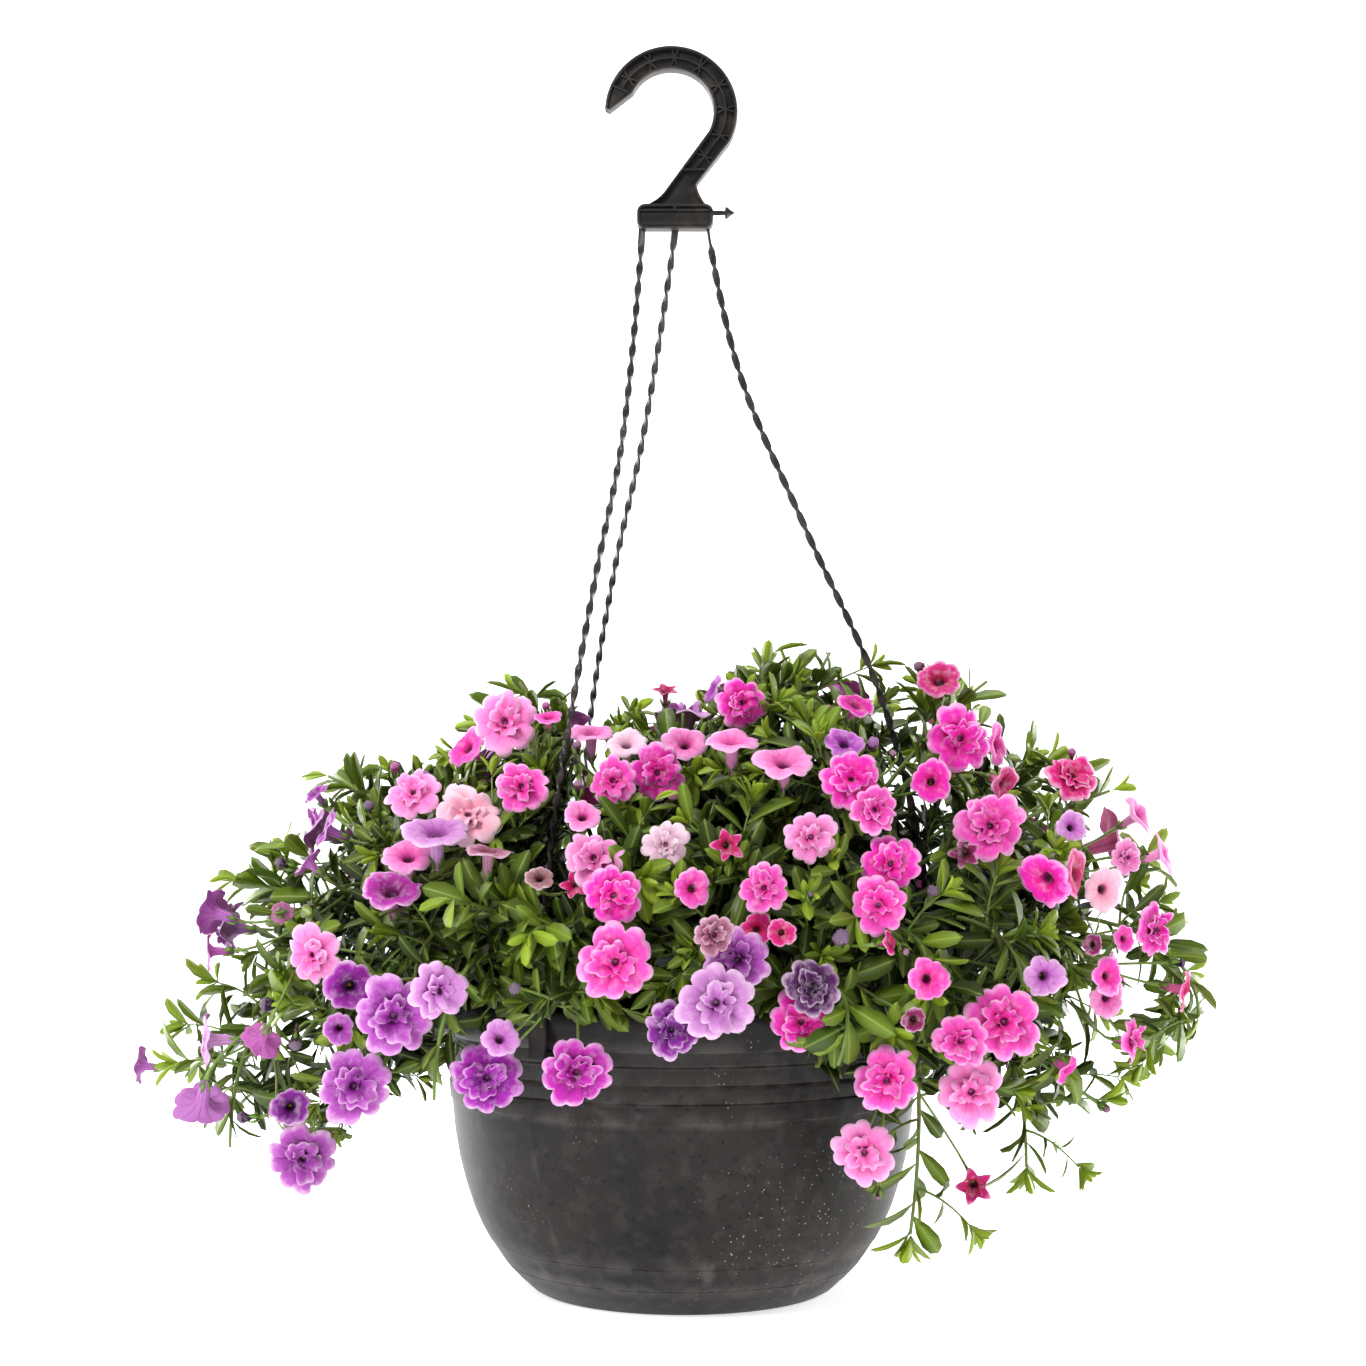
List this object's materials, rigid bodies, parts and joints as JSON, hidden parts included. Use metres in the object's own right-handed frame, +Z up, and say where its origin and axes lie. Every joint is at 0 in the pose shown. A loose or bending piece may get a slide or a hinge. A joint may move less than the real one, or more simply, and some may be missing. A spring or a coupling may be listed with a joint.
{
  "type": "calibrachoa hanging basket",
  "caption": "Hanging pot of calibrachoa in bloom: a hook with three twisted straps carries a ribbed round pot, soil, and a mound of leafy and flowering shoots that trails over the rim.",
  "frame": {"origin": "middle of the pot's flat base, in the plane that the pot stands on", "axes": "+Z up along the pot's axis to the hook, -Y to the front, +X to the right seen from the front"},
  "size_m": [0.543, 0.3667, 0.628],
  "materials": {
    "pot_plastic": "satin moulded plastic with fine speckles and dust",
    "hanger_plastic": "satin moulded plastic",
    "potting_soil": "rough, peaty, with pale grains",
    "foliage": "softly glossy green leaves, yellow green at the tips",
    "petal_purple": "soft matte petals with a dark throat",
    "petal_lilac": "soft matte petals with a violet throat",
    "petal_pale_pink": "soft matte petals with a pink throat",
    "petal_pink": "soft matte petals with a magenta throat",
    "petal_hot_pink": "soft matte petals with a magenta throat"
  },
  "bodies": {
    "root": {"pot": "pot_plastic", "hanger": "hanger_plastic", "flowering_shoot_far_left": "petal_purple", "flowering_shoot_low_left": "petal_lilac", "flowering_shoot_outer_left": "petal_purple", "flowering_shoot_mid_left": "petal_lilac", "flowering_shoot_upper_left": "petal_purple", "flowering_shoot_shoulder_left": "petal_pale_pink", "flowering_shoot_top_left": "petal_pale_pink", "flowering_shoot_top_centre_left": "petal_pink", "flowering_shoot_centre_left": "petal_pink", "flowering_shoot_centre": "petal_pink", "flowering_shoot_top_centre": "petal_pale_pink", "flowering_shoot_top_right_centre": "petal_hot_pink", "flowering_shoot_centre_right": "petal_hot_pink", "flowering_shoot_front_left": "petal_purple", "flowering_shoot_front_centre": "petal_lilac", "flowering_shoot_front_right": "petal_purple", "flowering_shoot_low_right": "petal_pale_pink", "flowering_shoot_lower_right": "petal_pink", "flowering_shoot_outer_right": "petal_hot_pink", "flowering_shoot_shoulder_right": "petal_pink", "flowering_shoot_upper_right": "petal_hot_pink", "flowering_shoot_top_right": "petal_hot_pink", "flowering_shoot_behind_1": "petal_hot_pink", "flowering_shoot_behind_2": "petal_hot_pink", "flowering_shoot_behind_3": "petal_hot_pink", "flowering_shoot_behind_4": "petal_pale_pink", "flowering_shoot_behind_5": "petal_pale_pink", "flowering_shoot_behind_6": "petal_purple", "flowering_shoot_behind_7": "petal_purple", "flowering_shoot_behind_8": "petal_purple", "leafy_shoot_trailing_low_right": "foliage", "leafy_shoot_trailing_right": "foliage", "leafy_shoot_side_right": "foliage", "leafy_shoot_low_right_tip": "foliage", "leafy_shoot_shoulder_right": "foliage", "leafy_shoot_peak_right": "foliage", "leafy_shoot_peak_centre": "foliage", "leafy_shoot_peak_right_centre": "foliage", "leafy_shoot_peak_left": "foliage", "leafy_shoot_shoulder_left": "foliage", "leafy_shoot_side_left": "foliage", "leafy_shoot_low_left_tip": "foliage", "leafy_shoot_hanging_left": "foliage", "leafy_shoot_heart_left": "foliage", "leafy_shoot_heart_centre": "foliage", "leafy_shoot_heart_right": "foliage", "leafy_shoot_front_right": "foliage", "leafy_shoot_back_1": "foliage", "leafy_shoot_back_2": "foliage", "leafy_shoot_back_3": "foliage", "leafy_shoot_back_4": "foliage", "leafy_shoot_back_5": "foliage", "leafy_shoot_back_6": "foliage", "leafy_shoot_back_7": "foliage", "leafy_shoot_back_8": "foliage", "soil": "potting_soil"}
  },
  "joints": []
}
